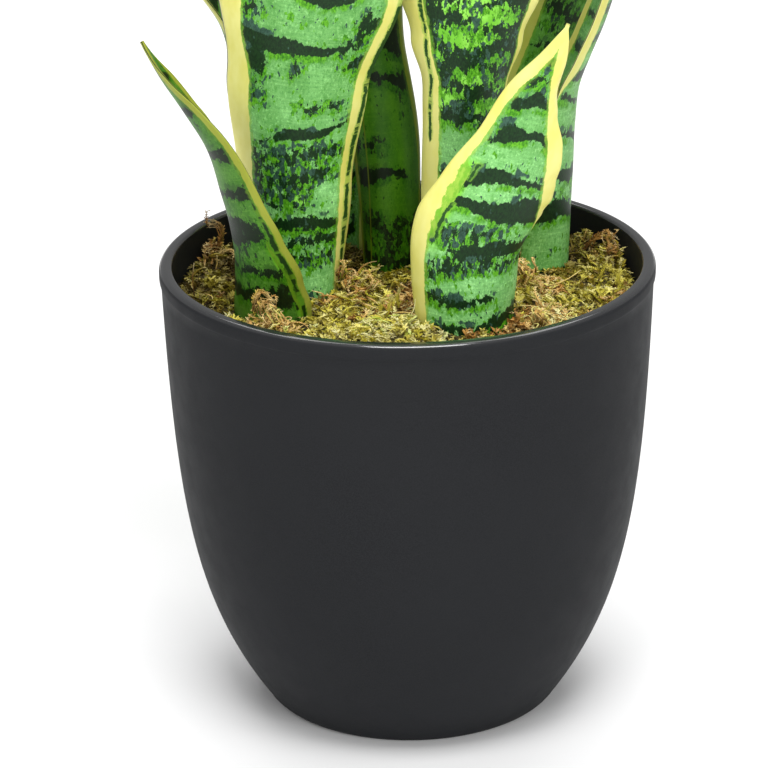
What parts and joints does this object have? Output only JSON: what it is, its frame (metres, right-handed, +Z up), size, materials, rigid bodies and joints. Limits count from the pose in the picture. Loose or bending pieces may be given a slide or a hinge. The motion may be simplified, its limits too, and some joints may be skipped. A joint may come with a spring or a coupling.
{
  "type": "potted artificial snake plant",
  "caption": "Artificial snake plant: upright banded sword-shaped leaves with pale margins, set in dried moss in a dark tapering round pot with a rolled rim.",
  "frame": {"origin": "middle of the pot's flat foot, on the plane it stands on", "axes": "+Z up, -Y towards the side the plant is seen from in the reference view, +X to that view's right"},
  "size_m": [0.2443, 0.1922, 0.9001],
  "materials": {
    "pot_plastic": "satin",
    "filler": "rough",
    "moss": "dry and fibrous",
    "moss_tuft": "dry and fibrous",
    "leaf_cloth": "printed cloth with a soft sheen"
  },
  "bodies": {
    "root": {"pot": "pot_plastic", "filler_block": "filler", "moss_bed": "moss", "moss_tuft_back_left": "moss_tuft", "moss_tuft_left_curl": "moss_tuft", "moss_tuft_middle": "moss_tuft", "moss_tuft_front": "moss_tuft", "moss_tuft_right": "moss_tuft", "moss_tuft_front_right": "moss_tuft", "moss_tuft_back_right": "moss_tuft", "moss_tuft_far_left": "moss_tuft", "leaf_tall_front_left": "leaf_cloth", "leaf_short_left": "leaf_cloth", "leaf_tall_centre": "leaf_cloth", "leaf_tall_front_right": "leaf_cloth", "leaf_short_front_right": "leaf_cloth", "leaf_middle_right": "leaf_cloth", "leaf_tall_back_right": "leaf_cloth", "leaf_middle_back_left": "leaf_cloth", "leaf_tall_back_left": "leaf_cloth", "leaf_short_back_left": "leaf_cloth"}
  },
  "joints": []
}
